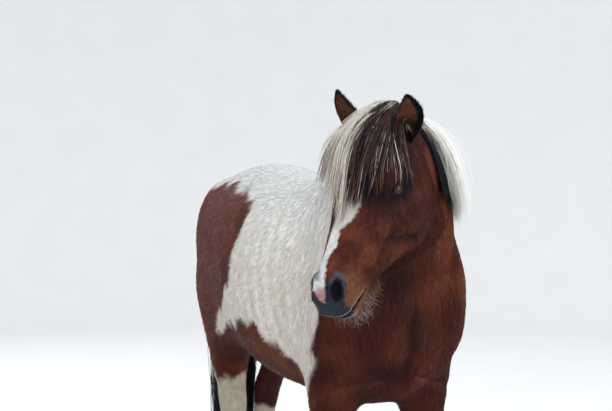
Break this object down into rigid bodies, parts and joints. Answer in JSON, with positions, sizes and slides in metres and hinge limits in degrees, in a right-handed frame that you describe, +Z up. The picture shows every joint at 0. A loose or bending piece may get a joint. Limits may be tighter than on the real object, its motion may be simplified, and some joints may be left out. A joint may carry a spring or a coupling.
{
  "type": "icelandic horse",
  "caption": "Life-size standing pony-built horse with a shaggy two-tone winter coat, full mane, forelock and tail, head turned to its right.",
  "frame": {"origin": "on the level the soles stand on, under the middle of the bounding box", "axes": "-Y is the way the horse faces, +X is its left, +Z is up"},
  "size_m": [0.6768, 1.8784, 1.5315],
  "materials": {
    "head": "short red-brown hair with a white blaze and a dark muzzle",
    "ear_left": "brown hair with a black rim",
    "ear_right": "brown hair with a black rim",
    "eye_left": "wet dark brown eyeball",
    "eye_right": "wet dark brown eyeball",
    "neck": "red-brown hair under a cream and black mane",
    "torso": "cream-white winter coat with red-brown patches",
    "tail": "long coarse black hair",
    "foreleg_left_upper": "red-brown winter coat",
    "foreleg_left_lower": "cream-white hair, tufted behind the fetlock",
    "foreleg_right_upper": "red-brown winter coat",
    "foreleg_right_lower": "cream-white hair, tufted behind the fetlock",
    "hindleg_left_upper": "red-brown winter coat",
    "hindleg_left_lower": "cream-white hair, tufted behind the fetlock",
    "hindleg_right_upper": "red-brown winter coat",
    "hindleg_right_lower": "cream-white hair, tufted behind the fetlock",
    "hoof_fore_left": "dark horn",
    "hoof_fore_right": "dark horn",
    "hoof_hind_left": "dark horn",
    "hoof_hind_right": "dark horn"
  },
  "bodies": {
    "root": {"head": "head", "ear_left": "ear_left", "ear_right": "ear_right", "eye_left": "eye_left", "eye_right": "eye_right", "neck": "neck", "torso": "torso", "tail": "tail", "foreleg_left_upper": "foreleg_left_upper", "foreleg_left_lower": "foreleg_left_lower", "foreleg_right_upper": "foreleg_right_upper", "foreleg_right_lower": "foreleg_right_lower", "hindleg_left_upper": "hindleg_left_upper", "hindleg_left_lower": "hindleg_left_lower", "hindleg_right_upper": "hindleg_right_upper", "hindleg_right_lower": "hindleg_right_lower", "hoof_fore_left": "hoof_fore_left", "hoof_fore_right": "hoof_fore_right", "hoof_hind_left": "hoof_hind_left", "hoof_hind_right": "hoof_hind_right"}
  },
  "joints": []
}
